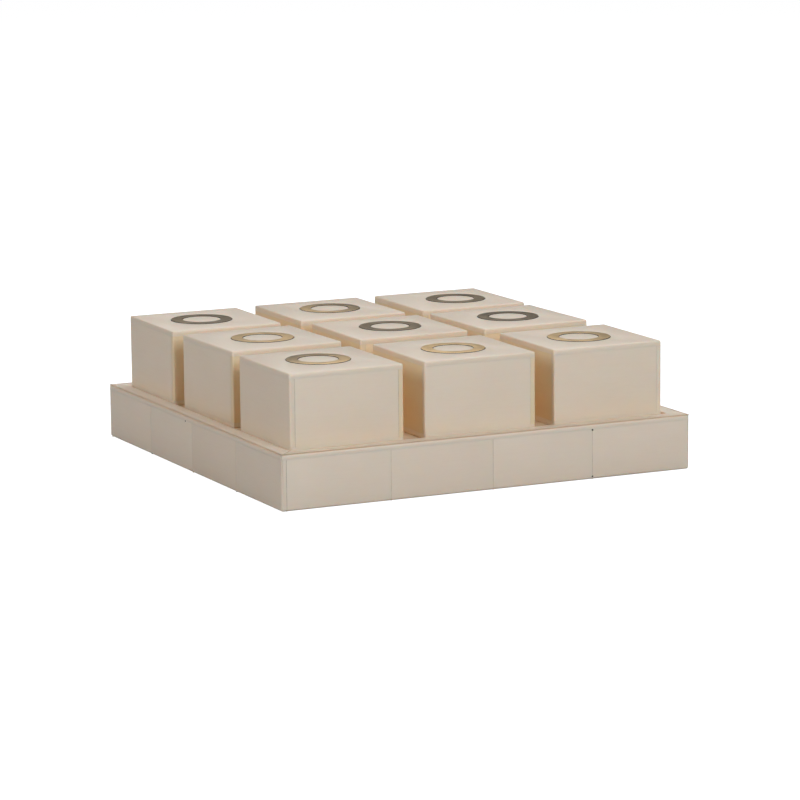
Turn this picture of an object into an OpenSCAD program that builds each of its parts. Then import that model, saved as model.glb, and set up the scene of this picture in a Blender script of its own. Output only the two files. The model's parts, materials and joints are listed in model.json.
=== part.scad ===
// Tic tac toe set: a square tray clad in bone plates, with nine loose clad blocks standing in it.
// A brass ring is let into the top of each block and a brass cross into its underside, so a player
// turns a block over to show the other mark. Millimetres, +Z up, +X along the front edge to the right,
// +Y to the back, origin on the surface that the tray stands on, under the middle of the tray.

/* [Blocks] */
// Side of a block's square top
block_w = 68.6; // [55:0.1:85]
// Height of a block
block_h = 44; // [30:0.5:60]
// Space between neighbouring blocks, wide enough for a finger
finger_gap = 13; // [10:0.1:22]

/* [Tray] */
// Height of the tray, from the surface it stands on to the top of its rim
tray_h = 31.5; // [24:0.5:45]
// Width of the flat rim round the recess
rim_w = 9.5; // [7:0.5:16]
// Play of the outer blocks: the space between them and the rim
edge_play = 1.6; // [1.3:0.1:2.2]
// Thickness of the tiles that line the floor of the recess
lining_t = 1.2; // [0.8:0.1:2.4]
// Thickness of the felt under the tray
felt_t = 1; // [0.6:0.1:2]

/* [Cladding] */
// Thickness of the bone plates on the tray and the blocks
plate_t = 3; // [2.5:0.1:4]
// Width of the glue line between two plates
glue_line = 0.2; // [0.1:0.05:0.4]
// Number of tiles along each side of the tray
side_tiles = 4; // [2:1:6]
// Number of lining tiles along each side of the recess
lining_tiles = 4; // [2:1:6]

/* [Inlays] */
// Outer diameter of the brass ring
ring_d = 36; // [26:0.5:46]
// Width of the ring's band
ring_band = 6.5; // [4:0.1:9]
// Length of each bar of the brass cross
cross_w = 40; // [28:0.5:52]
// Width of the cross's bars
cross_band = 6.5; // [4:0.1:9]
// Thickness of the brass
brass_t = 1; // [0.6:0.1:1.8]
// How far the brass ring stands above the bone round it
ring_proud = 0.3; // [0:0.05:0.5]
// Clearance between the brass and its pocket, on each side
inlay_play = 0.3; // [0.05:0.05:0.5]

/* [Hidden] */
// Round edges of the inlays and their pockets
$fn = 96;

// Width of the recess, from its rows of blocks, and of the whole tray
recess_w = 3 * block_w + 2 * finger_gap + 2 * edge_play;
tray_w = recess_w + 2 * rim_w;
// The core board fills the cladding, between the felt and the rim strips
board_w = tray_w - 2 * plate_t;
board_top = tray_h - plate_t;
// The floor that the blocks stand on, a little lower than the rim
floor_z = board_top + lining_t;
// Distance from the middle of one block to the middle of the next
pitch = block_w + finger_gap;
// The core of a block fills its six plates
core_w = block_w - 2 * plate_t;
core_h = block_h - 2 * plate_t;

// Where the blocks stand, row by row from the front
PLACES = [for (row = ["front", "middle", "back"]) for (column = ["left", "centre", "right"])
    str(row, "_", column)];
// How each block was set down: moved along X and Y from its place in the grid, in shares of the
// play, and turned in degrees
SET_DOWN = [
    [-0.7, -0.7, 0], [-0.4, -0.6, -0.5], [-0.8, -0.4, -0.5],
    [0.3, 1.3, 1.5], [0.3, 2, -0.5], [-1.8, 2.3, 1.5],
    [-0.6, 0.6, -0.5], [-0.7, 0.8, 0], [-1.6, 0.8, 0]
];
// How far each ring lies from the middle of its block, along X and Y: the inlays are set in by hand
RING_SHIFT = [
    [-0.5, 2], [-0.5, -1], [-0.5, 0],
    [1, 1], [1.5, 2], [0.5, 1],
    [-2, 0.5], [1, 2], [4.5, 0]
];

// How the walls of each block meet: "pair", the left and right walls cover the ends of the front and
// back ones, or "round", each wall covers the end of the wall to its left, all the way round
WALL_LAPS = [
    "pair", "round", "round",
    "round", "pair", "round",
    "round", "round", "pair"
];

TRAY_NODES = ["felt", "core_board", "front_tiles", "right_tiles", "back_tiles", "left_tiles",
    "front_rim", "right_rim", "back_rim", "left_rim", "floor_tiles"];
BLOCK_PIECES = ["core", "walls", "faces", "ring", "cross"];
NODES = concat(TRAY_NODES, [for (place = PLACES) for (piece = BLOCK_PIECES) str(place, "_", piece)]);
node = "all";

// ---- Small helpers ----

function wanted(name) = node == "all" || node == name;

// A box centred on the Z axis, from a height upwards
module slab(width, depth, height, bottom = 0) {
    translate([-width / 2, -depth / 2, bottom])
        cube([width, depth, height]);
}

// Children once, turned to one side of the square: 0 front, 1 right, 2 back, 3 left
module on_side(side) {
    rotate([0, 0, 90 * side])
        children();
}

// ---- Tray ----

// Felt glued under the tray, level with the lower edges of the side tiles
module felt() {
    color("darkolivegreen")
        slab(board_w, board_w, felt_t);
}

// Board that everything on the tray is glued to
module core_board() {
    color("burlywood")
        slab(board_w, board_w, board_top - felt_t, felt_t);
}

// A row of tiles on one side. Seen from outside, each row covers the end of the row to its right,
// and its own left end is covered by the row to its left.
module tile_row(side) {
    start = -tray_w / 2 + plate_t + glue_line;
    run = tray_w / 2 - start;
    tile_w = (run - (side_tiles - 1) * glue_line) / side_tiles;
    color("antiquewhite")
        on_side(side)
            for (i = [0 : side_tiles - 1])
                translate([start + i * (tile_w + glue_line), -tray_w / 2, 0])
                    cube([tile_w, plate_t, board_top]);
}

// A mitred strip of the rim, which covers the top ends of the tiles and the edge of the board
module rim_strip(side) {
    outer = tray_w / 2;
    inner = recess_w / 2;
    mitre_gap = glue_line / sqrt(2);
    color("linen")
        on_side(side)
            translate([0, 0, board_top])
                linear_extrude(plate_t)
                    polygon([
                        [-outer + mitre_gap, -outer], [outer - mitre_gap, -outer],
                        [inner - mitre_gap, -inner], [-inner + mitre_gap, -inner]
                    ]);
}

// Tiles that line the recess, inside the rim
module floor_tiles() {
    run = recess_w - 2 * glue_line;
    tile_w = (run - (lining_tiles - 1) * glue_line) / lining_tiles;
    color("linen")
        for (column = [0 : lining_tiles - 1], row = [0 : lining_tiles - 1])
            translate([-run / 2 + column * (tile_w + glue_line),
                       -run / 2 + row * (tile_w + glue_line), board_top])
                cube([tile_w, tile_w, lining_t]);
}

// ---- Blocks: each piece is drawn on the origin, standing on z = 0 ----

// Wooden core inside the plates
module block_core() {
    color("burlywood")
        slab(core_w, core_w, core_h, plate_t);
}

// Four wall plates, whose ends are covered at both ends, at neither, or at the right one
module block_walls(laps) {
    covered_end = plate_t + glue_line;
    color("antiquewhite")
        for (side = [0 : 3]) {
            left_end = laps == "pair" && side % 2 == 0 ? covered_end : 0;
            right_end = laps == "round" || side % 2 == 0 ? covered_end : 0;
            on_side(side)
                translate([-block_w / 2 + left_end, -block_w / 2, plate_t])
                    cube([block_w - left_end - right_end, plate_t, core_h]);
        }
}

// Flat ring or ring-shaped pocket. The band is widened by the play on each side.
module ring_shape(height, play) {
    difference() {
        cylinder(d = ring_d + 2 * play, h = height);
        translate([0, 0, -1])
            cylinder(d = ring_d - 2 * ring_band - 2 * play, h = height + 2);
    }
}

// Cross or cross-shaped pocket, with its bars on the block's diagonals
module cross_shape(height, play) {
    for (turn = [45, 135])
        rotate([0, 0, turn])
            slab(cross_w + 2 * play, cross_band + 2 * play, height);
}

// Top and bottom plates, which cover the walls: the top is cut for the ring, the bottom for the cross
module block_faces(shift) {
    color("linen") {
        difference() {
            slab(block_w, block_w, plate_t, block_h - plate_t);
            translate([shift.x, shift.y, block_h - brass_t])
                ring_shape(brass_t + 1, inlay_play);
        }
        difference() {
            slab(block_w, block_w, plate_t);
            translate([0, 0, -1])
                cross_shape(brass_t + 1, inlay_play);
        }
    }
}

// Brass ring, a little proud of the top
module block_ring(shift) {
    color("darkgoldenrod")
        translate([shift.x, shift.y, block_h - brass_t])
            ring_shape(brass_t + ring_proud, 0);
}

// Brass cross, flush with the underside
module block_cross() {
    color("darkgoldenrod")
        cross_shape(brass_t, 0);
}

// Stands its children on the tray's floor at one of the nine places, as that block was set down
module stand(i) {
    set_down = SET_DOWN[i];
    grid_x = (i % 3 - 1) * pitch;
    grid_y = (floor(i / 3) - 1) * pitch;
    translate([grid_x + set_down.x * edge_play, grid_y + set_down.y * edge_play, floor_z])
        rotate([0, 0, set_down.z])
            children();
}

// ---- The set ----

if (wanted("felt")) felt();
if (wanted("core_board")) core_board();
if (wanted("front_tiles")) tile_row(0);
if (wanted("right_tiles")) tile_row(1);
if (wanted("back_tiles")) tile_row(2);
if (wanted("left_tiles")) tile_row(3);
if (wanted("front_rim")) rim_strip(0);
if (wanted("right_rim")) rim_strip(1);
if (wanted("back_rim")) rim_strip(2);
if (wanted("left_rim")) rim_strip(3);
if (wanted("floor_tiles")) floor_tiles();
for (i = [0 : len(PLACES) - 1]) {
    if (wanted(str(PLACES[i], "_core"))) stand(i) block_core();
    if (wanted(str(PLACES[i], "_walls"))) stand(i) block_walls(WALL_LAPS[i]);
    if (wanted(str(PLACES[i], "_faces"))) stand(i) block_faces(RING_SHIFT[i]);
    if (wanted(str(PLACES[i], "_ring"))) stand(i) block_ring(RING_SHIFT[i]);
    if (wanted(str(PLACES[i], "_cross"))) stand(i) block_cross();
}
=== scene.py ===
# %% [markdown]
# # A bone-clad tic tac toe set
#
# The set is a square tray with a flat rim, and nine loose blocks that stand in it. Tray and blocks
# are board and softwood cores with thin bone plates glued on. Each block has a brass ring let into
# its top and a brass cross let into its underside. The CAD model gives every piece its place and
# size. This lesson gives the pieces their eased edges, filled joints and finishes.

# %% Load the frame
import json
import math
import random

import bmesh
import bpy
from mathutils import Matrix, Vector, noise
from mathutils.bvhtree import BVHTree


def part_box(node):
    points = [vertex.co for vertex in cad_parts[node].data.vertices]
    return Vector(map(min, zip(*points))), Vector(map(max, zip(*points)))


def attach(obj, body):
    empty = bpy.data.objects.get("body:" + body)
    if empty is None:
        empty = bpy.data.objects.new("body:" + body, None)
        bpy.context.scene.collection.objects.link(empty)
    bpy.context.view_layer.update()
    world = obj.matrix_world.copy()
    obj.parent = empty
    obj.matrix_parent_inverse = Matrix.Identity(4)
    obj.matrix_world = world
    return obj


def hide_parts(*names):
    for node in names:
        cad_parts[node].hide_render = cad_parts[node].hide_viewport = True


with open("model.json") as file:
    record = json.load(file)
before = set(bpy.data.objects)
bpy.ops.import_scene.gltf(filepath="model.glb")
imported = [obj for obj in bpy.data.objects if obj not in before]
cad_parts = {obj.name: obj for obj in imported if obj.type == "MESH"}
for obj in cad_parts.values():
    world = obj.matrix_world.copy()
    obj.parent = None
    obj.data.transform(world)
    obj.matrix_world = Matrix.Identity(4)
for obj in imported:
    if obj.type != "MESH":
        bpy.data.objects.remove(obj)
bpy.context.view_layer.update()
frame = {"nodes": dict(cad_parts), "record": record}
MM = 0.001
BODIES = frame["record"]["behaviour"]["bodies"]
BLOCKS = [body for body in BODIES if body.endswith("_block")]

# %% [markdown]
# ## Camera
#
# The set is seen from its front left corner and a little above, through a long lens, so that the
# far edges are hardly shorter than the near ones. The turn, tilt and roll are written as three
# rotations, one after the other. An Euler triple would do the same but hides what each one is for.

# %% Camera
CAMERA_PLACE = Vector((-0.921, -1.932, 0.414))
CAMERA_TURN = math.radians(25.62)
CAMERA_TILT = math.radians(10.15)
CAMERA_ROLL = math.radians(0.57)
LENS_MM = 167.4


def add_camera():
    lens = bpy.data.cameras.new("camera")
    lens.sensor_width = 36
    lens.lens = LENS_MM
    lens.clip_end = 50
    camera = bpy.data.objects.new("camera", lens)
    turn = Matrix.Rotation(-CAMERA_TURN, 4, "Z")
    tilt = Matrix.Rotation(math.pi / 2 - CAMERA_TILT, 4, "X")
    roll = Matrix.Rotation(-CAMERA_ROLL, 4, "Z")
    camera.matrix_world = Matrix.Translation(CAMERA_PLACE) @ turn @ tilt @ roll
    bpy.context.scene.collection.objects.link(camera)
    bpy.context.scene.camera = camera
    return camera


camera = add_camera()
print("lens", LENS_MM, "mm, distance", round(CAMERA_PLACE.length, 3), "m")

# %% [markdown]
# ## A small kit for materials
#
# Every finish here is a tree of shader nodes. Two helpers keep the trees readable: one adds a node
# and sets its sockets, the other makes a material with its shader already joined to the output.
# Values that are the same all over a surface go straight onto the shader's socket.

# %% Nodes and materials


def add_node(tree, kind, **settings):
    """A new node. A setting is one of its properties, or else the default of its input of that name."""
    node = tree.nodes.new(kind)
    for name, value in settings.items():
        if hasattr(node, name):
            setattr(node, name, value)
        else:
            node.inputs[name.replace("_", " ")].default_value = value
    return node


def new_material(name):
    """A material with an empty tree but for the shader and the output."""
    material = bpy.data.materials.new(name)
    material.use_nodes = True
    tree = material.node_tree
    tree.nodes.clear()
    shader = add_node(tree, "ShaderNodeBsdfPrincipled")
    output = add_node(tree, "ShaderNodeOutputMaterial")
    tree.links.new(shader.outputs["BSDF"], output.inputs["Surface"])
    return material, tree, shader


def set_sockets(shader, **values):
    """Plain values on the shader's own sockets."""
    for name, value in values.items():
        shader.inputs[name.replace("_", " ")].default_value = value


print("materials kit ready")

# %% [markdown]
# A pattern starts as a noise, is stretched one way if the stuff has fibres, and ends in a colour
# ramp that says what its low and high values look like. Image textures could hold the same
# patterns, but a procedural one stays sharp at any distance and follows any plate.

# %% Patterns


def attribute(tree, name, output="Fac"):
    return add_node(tree, "ShaderNodeAttribute", attribute_name=name).outputs[output]


def stretched(tree, source, scale):
    """Coordinates scaled along each axis, so that a pattern runs long one way."""
    node = add_node(tree, "ShaderNodeMapping", vector_type="POINT")
    tree.links.new(source, node.inputs["Vector"])
    node.inputs["Scale"].default_value = scale
    return node.outputs["Vector"]


def cloud(tree, vector, scale, detail=3, roughness=0.5):
    node = add_node(tree, "ShaderNodeTexNoise", Scale=scale, Detail=detail, Roughness=roughness)
    tree.links.new(vector, node.inputs["Vector"])
    return node.outputs["Fac"]


def ramp(tree, source, stops):
    """A colour ramp over source, with stops as (position, colour) or (position, grey)."""
    node = add_node(tree, "ShaderNodeValToRGB")
    tree.links.new(source, node.inputs["Fac"])
    elements = node.color_ramp.elements
    while len(elements) < len(stops):
        elements.new(0.5)
    for element, (place, colour) in zip(elements, stops):
        element.position = place
        element.color = (*colour, 1) if hasattr(colour, "__len__") else (colour, colour, colour, 1)
    return node.outputs["Color"]


def feed(tree, socket, value):
    """Joins an output socket to an input, or sets the input to a plain colour or number."""
    if isinstance(value, bpy.types.NodeSocket):
        tree.links.new(value, socket)
    else:
        socket.default_value = (*value, 1) if hasattr(value, "__len__") else value


def mix_colour(tree, blend, amount, a, b):
    node = add_node(tree, "ShaderNodeMix", data_type="RGBA", blend_type=blend)
    for socket, value in ((node.inputs[0], amount), (node.inputs[6], a), (node.inputs[7], b)):
        feed(tree, socket, value)
    return node.outputs[2]


def arithmetic(tree, operation, a, b):
    node = add_node(tree, "ShaderNodeMath", operation=operation)
    feed(tree, node.inputs[0], a)
    feed(tree, node.inputs[1], b)
    return node.outputs[0]


def raise_surface(tree, shader, height, strength, distance):
    """A bump from a height pattern, with distance in metres."""
    bump = add_node(tree, "ShaderNodeBump", Strength=strength, Distance=distance)
    tree.links.new(height, bump.inputs["Height"])
    tree.links.new(bump.outputs["Normal"], shader.inputs["Normal"])


print("patterns ready")

# %% [markdown]
# ## Bone
#
# Polished bone is a warm off-white with a satin surface. Close up it has fine fibres and pores that
# run along the shaft it was sawn from, and faint cloudy areas. Each plate differs a little from the
# next, because it comes from another piece. Sides that stand in the gaps get a yellower colour
# painted on. This is painted shade for the golden light that bounces between the blocks there.
#
# Every plate carries three attributes made with its mesh: `plate_co`, its own coordinates in
# millimetres with the fibres along x, `plate_tone`, one number for the whole plate, and a gap-shade
# number, which is 1 on plates that face a gap and lays the painted gap shade on them. Reading those
# keeps the pattern with the plate when a block is lifted, which texture coordinates of the whole room
# would not do. Light goes some way into bone before it comes out again, so the shader has some
# subsurface scattering, red furthest.

# %% Bone material
# Painted shade: the yellower tint laid on walls that face a gap, for the golden light bounced there.
GAP_SHADE_TINT = (1.0, 0.95, 0.80)


def bone_material(name, light, dark, gloss):
    material, tree, shader = new_material(name)
    place = attribute(tree, "plate_co", "Vector")
    clouds = cloud(tree, stretched(tree, place, (0.6, 1, 1)), 0.05, detail=4)
    fibres = cloud(tree, stretched(tree, place, (0.07, 1, 1)), 1.1, detail=5, roughness=0.6)
    pores = cloud(tree, stretched(tree, place, (0.16, 1, 1)), 3.2, detail=2)
    plate = mix_colour(tree, "MIX", attribute(tree, "plate_tone"), dark, light)
    # Painted shade: plates that face a gap are multiplied by the yellower tint.
    plate = mix_colour(tree, "MULTIPLY", attribute(tree, "sheltered"), plate, GAP_SHADE_TINT)
    cloudy = ramp(tree, clouds, [(0.3, (0.98, 0.975, 0.962)), (0.7, (1.0, 1.0, 1.0))])
    fibrous = ramp(tree, fibres, [(0.3, (0.97, 0.96, 0.94)), (0.55, (1, 1, 1)), (0.8, (1.0, 0.998, 0.99))])
    pored = ramp(tree, pores, [(0.24, (0.9, 0.86, 0.8)), (0.31, (1, 1, 1))])
    colour = mix_colour(tree, "MULTIPLY", 1.0, plate, cloudy)
    colour = mix_colour(tree, "MULTIPLY", 0.35, colour, fibrous)
    colour = mix_colour(tree, "MULTIPLY", 0.3, colour, pored)
    feed(tree, shader.inputs["Base Color"], colour)
    feed(tree, shader.inputs["Roughness"], ramp(tree, fibres, [(0.25, gloss + 0.1), (0.7, gloss)]))
    height = arithmetic(tree, "ADD", arithmetic(tree, "MULTIPLY", fibres, 0.4), clouds)
    raise_surface(tree, shader, height, 0.1, 0.1 * MM)
    set_sockets(shader, IOR=1.5, Subsurface_Weight=0.5, Subsurface_Radius=(1.0, 0.6, 0.4),
                Subsurface_Scale=1.1 * MM)
    return material


BLOCK_BONE = bone_material("block_bone", (0.915, 0.785, 0.61), (0.90, 0.765, 0.585), 0.42)
TRAY_BONE = bone_material("tray_bone", (0.905, 0.78, 0.615), (0.885, 0.757, 0.59), 0.45)
LINING_BONE = bone_material("lining_bone", (0.80, 0.63, 0.43), (0.74, 0.57, 0.38), 0.55)
print("bone:", BLOCK_BONE.name, TRAY_BONE.name, LINING_BONE.name)

# %% [markdown]
# ## Glue and filler
#
# The joints between plates are filled with glue and bone dust and scraped level. The filler is
# nearly as pale as the bone, but takes up dirt here and there. `plate_tone` says how dirty a joint
# is, and a noise along it breaks the line up.

# %% Filler material


def filler_material(name, pale, dirty, swing):
    material, tree, shader = new_material(name)
    patches = cloud(tree, attribute(tree, "plate_co", "Vector"), 0.22, detail=4, roughness=0.6)
    spread = arithmetic(tree, "MULTIPLY", arithmetic(tree, "SUBTRACT", patches, 0.5), swing)
    dirt = arithmetic(tree, "ADD", attribute(tree, "plate_tone"), spread)
    feed(tree, shader.inputs["Base Color"], ramp(tree, dirt, [(0.05, pale), (0.95, dirty)]))
    raise_surface(tree, shader, patches, 0.3, 0.05 * MM)
    set_sockets(shader, Roughness=0.6)
    return material


FILLER = filler_material("joint_filler", (0.84, 0.66, 0.46), (0.14, 0.085, 0.045), 0.9)
# Near-black inlay glue: the glue's own colour plus painted shade for the grooves round the brass.
DARK_GLUE_AND_SHADE = filler_material("inlay_glue", (0.12, 0.08, 0.045), (0.03, 0.02, 0.012), 0.8)
print("filler:", FILLER.name, DARK_GLUE_AND_SHADE.name)

# %% [markdown]
# ## Brass
#
# The rings and crosses are cut from brass sheet, pressed into their pockets and rubbed down with the
# bone, which leaves fine scratches. Bare brass goes brown, some pieces more than others. The
# `tarnish` attribute runs from 0, bright, to 1, brown, and a soft noise shifts it over the surface.
# The ramp turns that into the colour of the metal itself.

# %% Brass material


def brass_material(name):
    material, tree, shader = new_material(name)
    place = attribute(tree, "plate_co", "Vector")
    patches = cloud(tree, place, 0.12, detail=4)
    scratches = cloud(tree, stretched(tree, place, (0.06, 1, 1)), 4.0, detail=3, roughness=0.7)
    swing = arithmetic(tree, "MULTIPLY", arithmetic(tree, "SUBTRACT", patches, 0.5), 0.5)
    brown = arithmetic(tree, "ADD", attribute(tree, "tarnish"), swing)
    colours = [(0.0, (0.87, 0.63, 0.32)), (0.5, (0.50, 0.375, 0.21)), (1.0, (0.235, 0.19, 0.125))]
    feed(tree, shader.inputs["Base Color"], ramp(tree, brown, colours))
    feed(tree, shader.inputs["Roughness"], ramp(tree, scratches, [(0.3, 0.34), (0.7, 0.46)]))
    raise_surface(tree, shader, scratches, 0.15, 0.03 * MM)
    set_sockets(shader, Metallic=1.0)
    return material


BRASS = brass_material("brass")
print("brass:", BRASS.name)

# %% [markdown]
# ## Wood and felt
#
# The cores are wood, closed in on all sides by the bone. The felt is seen when the tray is turned
# over. Felt is pressed wool, so it has no weave, only short fibres lying all ways, and a little
# sheen where they stand up.

# %% Wood and felt materials


def wood_material():
    material, tree, shader = new_material("core_wood")
    place = add_node(tree, "ShaderNodeTexCoord").outputs["Object"]
    grain = cloud(tree, stretched(tree, place, (6, 60, 60)), 8, detail=6, roughness=0.65)
    colour = ramp(tree, grain, [(0.3, (0.30, 0.19, 0.10)), (0.7, (0.50, 0.35, 0.20))])
    feed(tree, shader.inputs["Base Color"], colour)
    feed(tree, shader.inputs["Roughness"], ramp(tree, grain, [(0.3, 0.75), (0.7, 0.9)]))
    return material


def felt_material():
    material, tree, shader = new_material("felt")
    place = add_node(tree, "ShaderNodeTexCoord").outputs["Object"]
    fibres = cloud(tree, place, 900, detail=6, roughness=0.75)
    matting = cloud(tree, place, 60, detail=4)
    colour = ramp(tree, fibres, [(0.3, (0.018, 0.016, 0.013)), (0.7, (0.075, 0.066, 0.052))])
    shade = ramp(tree, matting, [(0.3, 0.8), (0.7, 1.0)])
    feed(tree, shader.inputs["Base Color"], mix_colour(tree, "MULTIPLY", 1.0, colour, shade))
    raise_surface(tree, shader, fibres, 0.8, 0.3 * MM)
    set_sockets(shader, Roughness=0.95, Sheen_Weight=0.4, Sheen_Roughness=0.5)
    return material


CORE_WOOD = wood_material()
FELT = felt_material()
print("wood and felt:", CORE_WOOD.name, FELT.name)

# %% [markdown]
# ## From a CAD node to its plates
#
# A CAD node comes as triangles, and one node can hold several plates. Each is taken into bmesh,
# its corners are welded and its triangles joined back into flat faces, so that a box has six. Then
# the vertices that hang together are gathered, which gives the plates one by one.

# %% Solids and plates
WELD_WITHIN = 0.002 * MM
FLAT_WITHIN = math.radians(0.5)


def solid_of(*nodes):
    """The meshes of some nodes in one bmesh, welded and with their flat faces whole."""
    shape = bmesh.new()
    for node in nodes:
        shape.from_mesh(frame["nodes"][node].data)
    bmesh.ops.remove_doubles(shape, verts=shape.verts, dist=WELD_WITHIN)
    bmesh.ops.dissolve_limit(shape, angle_limit=FLAT_WITHIN, verts=shape.verts, edges=shape.edges,
                             delimit=set())
    return shape


def islands(shape):
    """Lists of vertices that hang together, one list per solid, in a fixed order."""
    left = set(shape.verts)
    found = []
    for start in list(shape.verts):
        if start not in left:
            continue
        island, queue = [], [start]
        left.discard(start)
        while queue:
            vertex = queue.pop()
            island.append(vertex)
            for edge in vertex.link_edges:
                other = edge.other_vert(vertex)
                if other in left:
                    left.discard(other)
                    queue.append(other)
        found.append(island)
    return found


front_row = solid_of("front_tiles")
print("plates in the front row of tiles:", len(islands(front_row)))
front_row.free()

# %% [markdown]
# The blocks were set down by hand, each turned a degree or so. A home matrix takes a point from the
# room into the frame of one block, with the origin in its middle and the axes along its sides. There
# the question whether an edge lies on the outside of the block is easy to ask.

# %% Home frames
LEVEL_WITHIN = 0.01 * MM


def turn_of(node):
    """How far a rectangular node is turned about Z, from its longest level edge."""
    shape = solid_of(node)
    level = [e for e in shape.edges if abs(e.verts[0].co.z - e.verts[1].co.z) < LEVEL_WITHIN]
    longest = max(level, key=lambda e: e.calc_length())
    along = longest.verts[1].co - longest.verts[0].co
    quarter = math.pi / 2
    angle = math.atan2(along.y, along.x) % quarter
    shape.free()
    return angle - quarter if angle > quarter / 2 else angle


def home(node):
    low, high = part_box(node)
    middle = Matrix.Translation((low + high) / 2)
    return (middle @ Matrix.Rotation(turn_of(node), 4, "Z")).inverted()


def half_size(nodes, to_home):
    """Half the size of several nodes together, in the frame of to_home."""
    points = [to_home @ v.co for n in nodes for v in frame["nodes"][n].data.vertices]
    return [max(abs(p[i]) for p in points) for i in range(3)]


BLOCK_HOME = {body: home(body.replace("_block", "_core")) for body in BLOCKS}
for body in BLOCKS:
    x, y, z = BLOCK_HOME[body].inverted().translation
    turned = -math.degrees(BLOCK_HOME[body].to_euler().z)
    print(f"{body:20s} at {x / MM:7.1f} {y / MM:7.1f} mm, turned {turned:5.2f} degrees")

# %% [markdown]
# ## Easing the edges
#
# A plate comes out of the CAD with knife-sharp edges. The maker sands every outer arris of the
# finished block round, but the edges along a joint stay nearly sharp, because the plates are sanded
# level together. So an edge needs to know which it is: it is an arris if it lies on two of the outer
# planes of the whole block or tray. Inside the rim the edge is only taken off lightly.
#
# The Bevel modifier reads one weight per edge, a share of the widest radius. It does the corners,
# where three arrises meet, far better than rounding by hand would.

# %% Ease the edges
BLOCK_ARRIS = 1.0 * MM
TRAY_ARRIS = 1.4 * MM
INNER_ARRIS = 0.5 * MM
JOINT_EDGE = 0.03 * MM
ON_PLANE = 0.02 * MM
SHARP_FROM = math.radians(30)


def planes_at(point, half):
    """The outer planes of a box of half sizes half that a point lies on, as (axis, side)."""
    return {(axis, side) for axis in range(3) for side in (-1, 1)
            if abs(point[axis] - side * half[axis]) < ON_PLANE}


def radius_of(edge, to_home, outer, arris, recess):
    ends = [to_home @ v.co for v in edge.verts]
    shared = planes_at(ends[0], outer) & planes_at(ends[1], outer)
    if len(shared) == 2:
        return arris
    if recess and (2, 1) in shared and planes_at(ends[0], recess) & planes_at(ends[1], recess):
        return INNER_ARRIS
    return JOINT_EDGE


def weigh_edges(shape, to_home, outer, arris, recess=None):
    weight = shape.edges.layers.float.new("bevel_weight_edge")
    for edge in shape.edges:
        if len(edge.link_faces) == 2 and edge.calc_face_angle() > SHARP_FROM:
            edge[weight] = radius_of(edge, to_home, outer, arris, recess) / arris


def eased_mesh(shape, name, arris):
    """The bevelled mesh: built on a helper object, then taken as the modifier leaves it."""
    rough = bpy.data.meshes.new(name)
    shape.to_mesh(rough)
    helper = bpy.data.objects.new(name + "_helper", rough)
    bpy.context.scene.collection.objects.link(helper)
    bevel = helper.modifiers.new("ease", "BEVEL")
    bevel.limit_method = "WEIGHT"
    bevel.width = arris
    bevel.segments = 4
    bevel.miter_outer = "MITER_ARC"
    bevel.use_clamp_overlap = False
    mesh = bpy.data.meshes.new_from_object(helper.evaluated_get(bpy.context.evaluated_depsgraph_get()))
    bpy.data.objects.remove(helper)
    mesh.name = name
    mesh.shade_smooth()
    mesh.set_sharp_from_angle(angle=SHARP_FROM)
    return mesh


print("edge radii", [r / MM for r in (BLOCK_ARRIS, TRAY_ARRIS, INNER_ARRIS, JOINT_EDGE)], "mm")

# %% [markdown]
# The upright corners of the rim belong to two strips each, which meet there in a mitre. Neither
# strip alone lies on both outer planes, so the weights above leave these corners square. Each strip
# is cut across a few times near its ends before it is eased, and bent onto a quarter circle
# afterwards. It isn't perfect: the bevel runs wide where a strip ends at its mitre, and a few
# vertices at the top stay about half a millimetre proud of the tray's outline.

# %% Rim corners
CORNER_CUTS = 6
NEAR = 0.01 * MM


def cut_for_corners(shape, half):
    """Cuts a strip across a few times near its ends, so that it can follow the corner's curve."""
    for axis in (0, 1):
        for side in (-1, 1):
            for cut in range(CORNER_CUTS):
                along = side * (half[axis] - TRAY_ARRIS * cut / (CORNER_CUTS - 1) - NEAR)
                point = Vector([along if i == axis else 0 for i in range(3)])
                normal = Vector([1 if i == axis else 0 for i in range(3)])
                bmesh.ops.bisect_plane(shape, geom=shape.verts[:] + shape.edges[:] + shape.faces[:],
                                       plane_co=point, plane_no=normal, dist=0.1 * NEAR)


def round_rim_corners(mesh, half):
    """Bends the square outer corners of the rim towards a quarter circle."""
    inward = [half[i] - TRAY_ARRIS for i in (0, 1)]
    for vertex in mesh.vertices:
        over = [abs(vertex.co[i]) - inward[i] for i in (0, 1)]
        if min(over) > 0:
            share = max(over) / math.hypot(*over)
            for i in (0, 1):
                vertex.co[i] = math.copysign(inward[i] + over[i] * share, vertex.co[i])


print("cuts at each rim corner", CORNER_CUTS)

# %% [markdown]
# ## Coordinates for every plate
#
# Each plate's own coordinates put x along its longest side, which is the way the fibres run. A
# random shift moves each plate to another part of the pattern. The random numbers come from one
# seeded source, so every run gives the same set.

# %% Plate coordinates and tones
chance = random.Random(9)
WIDEST_SHIFT = 400


def plate_of(island, to_home):
    """The plate's own matrix: from the room to its middle, with x along its length."""
    inside = [to_home @ v.co for v in island]
    low = Vector([min(p[i] for p in inside) for i in range(3)])
    high = Vector([max(p[i] for p in inside) for i in range(3)])
    order = sorted(range(3), key=lambda i: low[i] - high[i])
    axes = [Vector([1.0 if i == axis else 0.0 for i in range(3)]) for axis in order]
    return Matrix(axes).to_4x4() @ Matrix.Translation(-(low + high) / 2) @ to_home


def facing(island, to_home, half):
    """Which outer side of its block a wall plate is, as a unit vector in the block's frame."""
    middle = sum((to_home @ v.co for v in island), Vector()) / len(island)
    shares = [middle[i] / half[i] for i in range(3)]
    axis = max(range(3), key=lambda i: abs(shares[i]))
    return Vector([math.copysign(1, shares[i]) if i == axis else 0 for i in range(3)])


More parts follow.
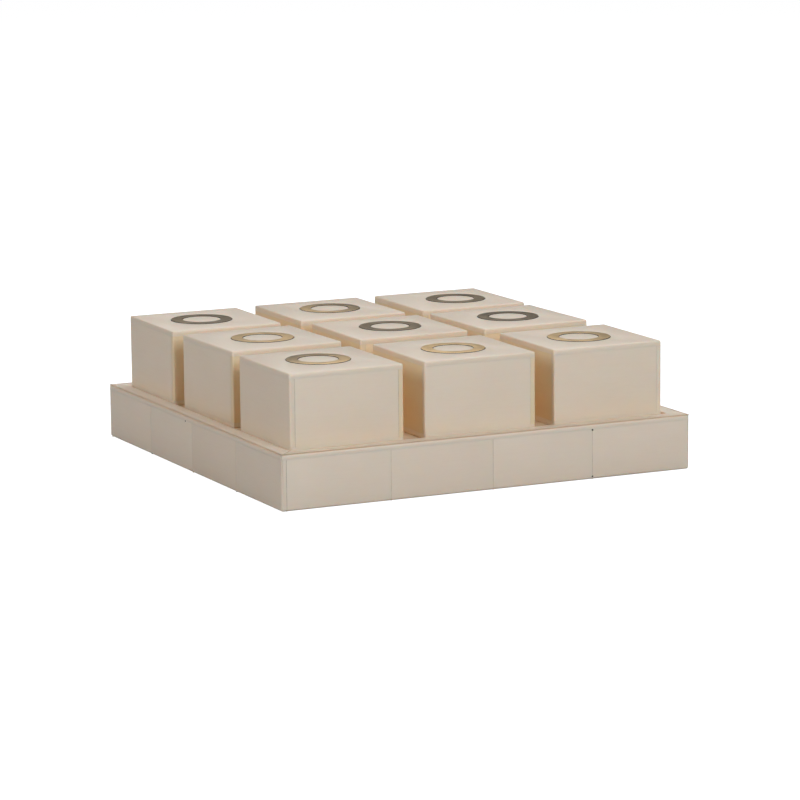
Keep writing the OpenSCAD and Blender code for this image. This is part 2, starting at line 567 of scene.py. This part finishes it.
def write_attributes(mesh, plates):
    """plates is a list of (to_plate matrix, shift, tone, painted gap shade), one per island of the mesh."""
    shape = bmesh.new()
    shape.from_mesh(mesh)
    place = shape.verts.layers.float_vector.new("plate_co")
    tones = shape.verts.layers.float.new("plate_tone")
    gap_shade_layer = shape.verts.layers.float.new("sheltered")
    for island in islands(shape):
        middle = sum((v.co for v in island), Vector()) / len(island)
        to_plate, shift, tone, sheltered = min(plates, key=lambda p: (p[0] @ middle).length)
        for vertex in island:
            vertex[place] = (to_plate @ vertex.co) / MM + shift
            vertex[tones] = tone
            vertex[gap_shade_layer] = sheltered
    shape.to_mesh(mesh)
    shape.free()


def random_shift():
    return Vector([chance.uniform(-WIDEST_SHIFT, WIDEST_SHIFT) for _ in range(3)])


print("plate coordinates ready")

# %% [markdown]
# ## Making a piece
#
# A piece stands for one CAD node. It rides on the node's body, so that a lifted block takes its
# plates along.

# %% Make a piece


def add_piece(name, mesh, material, body, node=None):
    mesh.materials.clear()
    mesh.materials.append(material)
    piece = bpy.data.objects.new(name, mesh)
    bpy.context.scene.collection.objects.link(piece)
    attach(piece, body)
    if node:
        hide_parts(node)
    return piece


def make_plates(node, body, to_home, outer, arris, material, recess=None, in_gap=None):
    """The plates of one node with eased edges. in_gap says which of them face a gap and get the painted gap
    shade.
    """
    shape = solid_of(node)
    if node.endswith("_rim"):
        cut_for_corners(shape, outer)
    plates = []
    for island in islands(shape):
        sheltered = 1.0 if in_gap and in_gap(facing(island, to_home, outer)) else 0.0
        plates.append((plate_of(island, to_home), random_shift(), chance.random(), sheltered))
    weigh_edges(shape, to_home, outer, arris, recess)
    mesh = eased_mesh(shape, node + "_eased", arris)
    shape.free()
    write_attributes(mesh, plates)
    return add_piece(node + "_eased", mesh, material, body, node)


print("ready to make pieces")

# %% [markdown]
# ## Filling the joints
#
# The CAD leaves a gap of one glue line between two plates. From the end face of each plate a short
# ray is cast straight out. If it meets the next plate at once, the gap between them is a joint, and
# a strip of filler goes in, sunk a hair below the surface. The smaller of the two faces gives the
# strip its outline, with extra points near its corners, so that the strip can be drawn in where an
# eased edge crosses the joint. One box inside the whole block would show through the gaps as well,
# but would run through every plate.

# %% Find and fill joints
SUNK = 0.05 * MM
REACH = 0.3 * MM
SHORT_SIDE_SHARE = 0.45


def joints_between(shape):
    """Pairs of a plate's end face and the width of the gap in front of it."""
    shape.faces.ensure_lookup_table()
    tree = BVHTree.FromBMesh(shape)
    found = []
    for face in shape.faces:
        start = face.calc_center_median() + face.normal * NEAR
        place, normal, index, distance = tree.ray_cast(start, face.normal, REACH)
        if index is None:
            continue
        own, other = face.calc_area(), shape.faces[index].calc_area()
        twins = abs(own - other) < 0.01 * own
        if (twins and face.index < index) or (not twins and own < other):
            found.append((face, distance + NEAR))
    return found


def within_edges(point, to_home, half, arris):
    """The point, moved in if it lies past the eased edges of the box."""
    place = to_home @ point
    over = [max(0, abs(place[i]) - (half[i] - SUNK - arris)) for i in range(3)]
    reach = math.hypot(*over)
    if reach > arris:
        for i in range(3):
            if over[i] > 0:
                place[i] = math.copysign(half[i] - SUNK - arris + over[i] * arris / reach, place[i])
    return to_home.inverted() @ place


def finer_outline(corners, reach):
    """The outline with extra points near its corners, so that it can follow an eased edge."""
    points = []
    for i, corner in enumerate(corners):
        ahead = corners[(i + 1) % len(corners)] - corner
        near = min(reach / ahead.length, SHORT_SIDE_SHARE)
        shares = [near * step / CORNER_CUTS for step in range(CORNER_CUTS + 1)]
        shares += [1 - share for share in reversed(shares[1:])]
        points += [corner + ahead * share for share in shares]
    return points


def add_strip(strips, face, gap, to_home, half, arris):
    """A box from the face to the far side of the gap, a little smaller all round than the face."""
    corners = [loop.vert.co for loop in face.loops]
    inset = []
    for i, corner in enumerate(corners):
        ahead = (corners[(i + 1) % len(corners)] - corner).normalized()
        inset.append(corner + ((corners[i - 1] - corner).normalized() + ahead) * SUNK)
    rings = []
    for side in (0, 1):
        points = [p + face.normal * gap * side for p in finer_outline(inset, arris)]
        rings.append([strips.verts.new(within_edges(p, to_home, half, arris)) for p in points])
    strips.faces.new(list(reversed(rings[0])))
    strips.faces.new(rings[1])
    for i in range(len(rings[0])):
        strips.faces.new([rings[0][i - 1], rings[0][i], rings[1][i], rings[1][i - 1]])
    return sum(corners, Vector()) / len(corners)


def fill_joints(name, nodes, body, to_home, half, arris, dirt):
    """All joints of some nodes in one piece. dirt(middle) says how dark the joint there is."""
    shape = solid_of(*nodes)
    strips = bmesh.new()
    plates = []
    for face, gap in joints_between(shape):
        middle = add_strip(strips, face, gap, to_home, half, arris)
        plates.append((Matrix.Translation(-middle), random_shift(), dirt(to_home @ middle), 0.0))
    mesh = bpy.data.meshes.new(name)
    strips.to_mesh(mesh)
    strips.free()
    shape.free()
    write_attributes(mesh, plates)
    add_piece(name, mesh, FILLER, body)
    return len(plates)


print("joint filler sunk", SUNK / MM, "mm")

# %% [markdown]
# ## Tray
#
# Four rows of tiles stand round the board, four mitred strips make the rim, and square tiles line
# the recess. They are all bone. The rows are eased together, as the maker would do it with the tray
# already glued up.

# %% Tray plates
TRAY_NODES = [n for n in BODIES["tray"] if n.endswith(("_tiles", "_rim"))]
SHELL_NODES = [n for n in TRAY_NODES if n != "floor_tiles"]
TRAY_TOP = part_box("back_rim")[1].z
TRAY_HOME = Matrix.Translation((0, 0, -TRAY_TOP / 2))
TRAY_HALF = half_size(SHELL_NODES, TRAY_HOME)
RECESS_HALF = [abs(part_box("left_rim")[1].x), abs(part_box("front_rim")[1].y), TRAY_HALF[2]]
for node in TRAY_NODES:
    bone = LINING_BONE if node == "floor_tiles" else TRAY_BONE
    piece = make_plates(node, "tray", TRAY_HOME, TRAY_HALF, TRAY_ARRIS, bone, RECESS_HALF)
    if node.endswith("_rim"):
        round_rim_corners(piece.data, TRAY_HALF)
print("tray half size", [round(s / MM, 2) for s in TRAY_HALF], "recess half", round(RECESS_HALF[0] / MM, 2))

# %% [markdown]
# Most joints of the tray are pale. A few have taken up dirt, the one at the near corner most, where
# the hand takes hold of the tray. They are named by where they are, in millimetres from the middle.

# %% Tray joints
DIRTY_JOINTS = {(-124, -127): 0.45, (-61, -127): 0.08, (2, -127): 0.22, (64, -127): 0.25, (-127, 61): 0.15}
SAME_PLACE_MM = 6
RIM_DEPTH = 3 * MM


def tray_dirt(middle):
    for (x, y), dirt in DIRTY_JOINTS.items():
        if math.hypot(middle.x / MM - x, middle.y / MM - y) < SAME_PLACE_MM:
            return dirt
    on_the_rim = middle.z > TRAY_HALF[2] - RIM_DEPTH
    return 0.0 if on_the_rim else chance.uniform(0.05, 0.2)


filled = fill_joints("tray_joints", TRAY_NODES, "tray", TRAY_HOME, TRAY_HALF, TRAY_ARRIS,
                     tray_dirt)
print("tray joints filled:", filled)

# %% [markdown]
# ## Blocks
#
# Nine blocks, each clad with six bone plates. A wall that faces another block gets the painted gap shade.

# %% Block plates and joints
ROWS = {"front": -1, "middle": 0, "back": 1}
COLUMNS = {"left": -1, "centre": 0, "right": 1}


def neighbour_test(stem):
    """A function that says whether a side of this block faces another block."""
    row, column = stem.split("_")

    def faces_a_gap(side):
        across = COLUMNS[column] + round(side.x)
        back = ROWS[row] + round(side.y)
        return side.z == 0 and abs(across) <= 1 and abs(back) <= 1
    return faces_a_gap


BLOCK_DIRT = {"front_left": 0.3, "front_centre": 0.0, "front_right": 0.0}
OTHER_BLOCK_DIRT = 0.2
joints = 0
for body in BLOCKS:
    stem = body.replace("_block", "")
    walls, faces = stem + "_walls", stem + "_faces"
    half = half_size([walls, faces], BLOCK_HOME[body])
    for node in (walls, faces):
        make_plates(node, body, BLOCK_HOME[body], half, BLOCK_ARRIS, BLOCK_BONE,
                    in_gap=neighbour_test(stem))
    dirt = BLOCK_DIRT.get(stem, OTHER_BLOCK_DIRT)
    joints += fill_joints(stem + "_joints", [walls], body, BLOCK_HOME[body], half, BLOCK_ARRIS,
                          lambda m: dirt)
print("block half size", [round(s / MM, 2) for s in half], "joints filled", joints)

# %% [markdown]
# ## Inlays
#
# A bed of glue fills each pocket to just below the bone, and the brass is pressed into it. What is
# seen of the glue is a thin near-black line round the brass. It is partly the glue's own colour and
# partly painted shade for the narrow groove there. The bed is raised from the floor of the pocket,
# so it takes the pocket's outline, whether that is a ring or a cross.

# %% Glue beds
BED_BELOW = 0.12 * MM


def glue_bed(stem, body, side):
    """The bed in the top (side 1) or bottom (side -1) pocket of a block."""
    low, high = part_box(stem + "_faces")
    surface = high.z if side > 0 else low.z
    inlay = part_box(stem + ("_ring" if side > 0 else "_cross"))
    floor = inlay[0].z if side > 0 else inlay[1].z
    shape = solid_of(stem + "_faces")
    keep = [f for f in shape.faces
            if f.normal.z * side > 0.99 and abs(f.calc_center_median().z - floor) < ON_PLANE]
    bmesh.ops.delete(shape, geom=[f for f in shape.faces if f not in set(keep)], context="FACES")
    raised = bmesh.ops.extrude_face_region(shape, geom=list(shape.faces))
    lift = Vector((0, 0, surface - floor - side * BED_BELOW))
    top = [g for g in raised["geom"] if isinstance(g, bmesh.types.BMVert)]
    bmesh.ops.translate(shape, vec=lift, verts=top)
    bmesh.ops.recalc_face_normals(shape, faces=shape.faces)
    name = f"{stem}_{'ring' if side > 0 else 'cross'}_glue"
    mesh = bpy.data.meshes.new(name)
    shape.to_mesh(mesh)
    shape.free()
    write_attributes(mesh, [(BLOCK_HOME[body], random_shift(), 0.5, 0.0)])
    return add_piece(name, mesh, DARK_GLUE_AND_SHADE, body)


for body in BLOCKS:
    stem = body.replace("_block", "")
    beds = [glue_bed(stem, body, side) for side in (1, -1)]
print("glue bed faces", [len(bed.data.polygons) for bed in beds])

# %% [markdown]
# The tarnish of each ring is given as three numbers: how brown it is in its middle, and
# how much browner it gets to the right and to the back, because some rings are bright on one side.
# The upright edges of the brass take the near-black glue material, as painted shade on the sides of the
# inlay.

# %% Brass rings and crosses
RING_TARNISH = {
    "front_left": (0.35, -0.1, 0.3), "front_centre": (0.05, 0.1, 0), "front_right": (0.2, 0.1, 0),
    "middle_left": (0.2, -0.05, 0), "middle_centre": (0.85, 0, 0), "middle_right": (0.95, 0, 0),
    "back_left": (0.9, 0.05, 0), "back_centre": (0.5, 0.3, 0.1), "back_right": (0.85, 0, 0),
}
CROSS_TARNISH = (0.45, 0.1, 0.1)
# Half sizes so large that no edge of the brass lies on them, which keeps all its edges crisp
NO_OUTER_PLANES = [1, 1, 1]


def add_brass(node, body, tarnish):
    shape = solid_of(node)
    to_home = BLOCK_HOME[body]
    low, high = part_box(node)
    middle, reach = (low + high) / 2, (high.x - low.x) / 2
    plates = [(to_home, random_shift(), 0.5, 0.0)]
    weigh_edges(shape, to_home, NO_OUTER_PLANES, BLOCK_ARRIS)
    mesh = eased_mesh(shape, node + "_eased", BLOCK_ARRIS)
    shape.free()
    write_attributes(mesh, plates)
    base, to_right, to_back = tarnish
    layer = mesh.attributes.new("tarnish", "FLOAT", "POINT")
    for vertex in mesh.vertices:
        away = (vertex.co - middle) / reach
        layer.data[vertex.index].value = base + to_right * away.x + to_back * away.y
    piece = add_piece(node + "_eased", mesh, BRASS, body, node)
    # Painted shade: the upright faces of the brass get the near-black glue material.
    mesh.materials.append(DARK_GLUE_AND_SHADE)
    for face in mesh.polygons:
        face.material_index = 1 if abs(face.normal.z) < 0.5 else 0
    return piece


for body in BLOCKS:
    stem = body.replace("_block", "")
    ring = add_brass(stem + "_ring", body, RING_TARNISH[stem])
    cross = add_brass(stem + "_cross", body, CROSS_TARNISH)
print("faces of a ring and a cross:", len(ring.data.polygons), len(cross.data.polygons))

# %% [markdown]
# ## Chips
#
# Where a joint runs out at an edge, a crumb of bone has broken away here and there, and dark wax has
# filled the chip. Each is a drop about a millimetre wide, squeezed flat and made uneven with a noise,
# half sunk in the surface. It stands less than a fifth of a millimetre above it.

# %% Chips
CHIPS = [((64.3, -127.0, 28.2), 0.55), ((64.3, -127.0, 1.6), 0.5), ((-127.0, 8.0, 28.4), 0.5)]
CHIP_UNEVENNESS = 0.35
CHIP_LUMPS_PER_MM = 1.7
CHIP_FLATTENED = 0.75


def add_chips():
    shape = bmesh.new()
    for place, radius in CHIPS:
        drop = bmesh.ops.create_icosphere(shape, subdivisions=2, radius=radius * MM)["verts"]
        outward = Vector((0, 1, 0)) if abs(place[1]) > abs(place[0]) else Vector((1, 0, 0))
        for vertex in drop:
            lumps = noise.noise(vertex.co / MM * CHIP_LUMPS_PER_MM + Vector(place))
            uneven = 1 + CHIP_UNEVENNESS * lumps
            flat = vertex.co - outward * vertex.co.dot(outward) * CHIP_FLATTENED
            vertex.co = flat * uneven + Vector(place) * MM
    mesh = bpy.data.meshes.new("tray_chips")
    shape.to_mesh(mesh)
    shape.free()
    mesh.shade_smooth()
    write_attributes(mesh, [(TRAY_HOME, random_shift(), 0.4, 0.0)])
    return add_piece("tray_chips", mesh, DARK_GLUE_AND_SHADE, "tray")


print("chips", len(CHIPS), "faces", len(add_chips().data.polygons))

# %% [markdown]
# ## Felt and cores
#
# The cut edge of felt is soft, so the sheet gets a low bevel all round.
# The cores keep the CAD's shape. Nothing of them shows, but they get their wood, since the model may
# be opened up later.

# %% Felt and cores
FELT_EDGE = 0.4 * MM


def add_felt():
    shape = solid_of("felt")
    half = half_size(["felt"], home("felt"))
    weigh_edges(shape, home("felt"), half, FELT_EDGE)
    mesh = eased_mesh(shape, "felt_sheet", FELT_EDGE)
    shape.free()
    return add_piece("felt_sheet", mesh, FELT, "tray", "felt")


def repaint(node, material):
    mesh = frame["nodes"][node].data
    mesh.materials.clear()
    mesh.materials.append(material)


add_felt()
repaint("core_board", CORE_WOOD)
for body in BLOCKS:
    repaint(body.replace("_block", "_core"), CORE_WOOD)
print("felt edge", FELT_EDGE / MM, "mm")

# %% [markdown]
# ## Floor
#
# A white sweep of paper, lit until it is pure white. Real light can't make the paper white without
# burning out the bone as well, so the floor glows for the camera's own rays only, and stays an
# ordinary pale floor for the light that bounces off it.

# %% Floor
FLOOR_GLOW = 0.95
FLOOR_REACH = 6


def light_for_camera(tree, amount):
    path = add_node(tree, "ShaderNodeLightPath")
    return arithmetic(tree, "MULTIPLY", path.outputs["Is Camera Ray"], amount)


def add_floor():
    shape = bmesh.new()
    bmesh.ops.create_grid(shape, x_segments=1, y_segments=1, size=FLOOR_REACH)
    mesh = bpy.data.meshes.new("floor")
    shape.to_mesh(mesh)
    shape.free()
    floor = bpy.data.objects.new("floor", mesh)
    bpy.context.scene.collection.objects.link(floor)
    material, tree, shader = new_material("pale_floor")
    feed(tree, shader.inputs["Emission Strength"], light_for_camera(tree, FLOOR_GLOW))
    set_sockets(shader, Base_Color=(0.5, 0.5, 0.5, 1), Roughness=0.9, Specular_IOR_Level=0.0,
                Emission_Color=(1, 1, 1, 1))
    mesh.materials.append(material)
    return floor


print("floor size", add_floor().dimensions.x, "m")

# %% [markdown]
# ## Light
#
# Four large soft boxes, with hardly any light from the room. The one in front lights the fronts, and
# stands nearly square to them, so little of it falls straight on the walls in the gaps. Those are lit
# mostly by light that has bounced from bone to bone and grown more golden each time. The left box
# lights the left sides, less strongly. Two more stand high behind the set and light the tops. A
# single lamp overhead would do for the tops, but would reach down into the gaps.

# %% Lights
LIGHTS_AIM_AT = Vector((0, 0, 0.04))


def add_softbox(name, place, size, power, colour):
    light = bpy.data.lights.new(name, "AREA")
    light.shape = "RECTANGLE"
    light.size, light.size_y = size
    light.energy = power
    light.color = colour
    lamp = bpy.data.objects.new(name, light)
    direction = LIGHTS_AIM_AT - Vector(place)
    lamp.rotation_euler = direction.to_track_quat("-Z", "Y").to_euler()
    lamp.location = place
    bpy.context.scene.collection.objects.link(lamp)
    return lamp


add_softbox("front_softbox", (0.15, -2.1, 1.25), (1.1, 1.2), 28.2, (0.97, 1.0, 1.10))
add_softbox("left_softbox", (-2.1, -0.1, 1.2), (1.4, 1.2), 17.0, (1.0, 0.975, 1.02))
add_softbox("right_softbox", (1.1, 0.5, 1.7), (1.4, 1.4), 11.3, (1.0, 1.01, 1.08))
add_softbox("back_softbox", (0.2, 1.4, 1.5), (1.6, 1.2), 10.4, (1.0, 1.01, 1.08))

# %% [markdown]
# The room itself gives a faint even light, so that the brass has something to mirror, but looks
# white behind the set. Light bounces many times between the blocks before it comes out of a gap,
# more often than Blender follows it by default, so the number of bounces is raised. Colours are
# shown as they are, with no film look on top.

# %% Room
ROOM_LIGHT = 0.06


def set_room():
    world = bpy.data.worlds.new("studio")
    bpy.context.scene.world = world
    world.use_nodes = True
    tree = world.node_tree
    tree.nodes.clear()
    around = add_node(tree, "ShaderNodeBackground")
    output = add_node(tree, "ShaderNodeOutputWorld")
    strength = arithmetic(tree, "ADD", light_for_camera(tree, 1.0), ROOM_LIGHT)
    tree.links.new(strength, around.inputs["Strength"])
    tree.links.new(around.outputs[0], output.inputs["Surface"])
    around.inputs["Color"].default_value = (1, 1, 1, 1)


set_room()
scene = bpy.context.scene
scene.view_settings.view_transform = "Standard"
scene.cycles.max_bounces = 16
scene.cycles.diffuse_bounces = 12
print("bounces", scene.cycles.max_bounces, "of which diffuse", scene.cycles.diffuse_bounces)
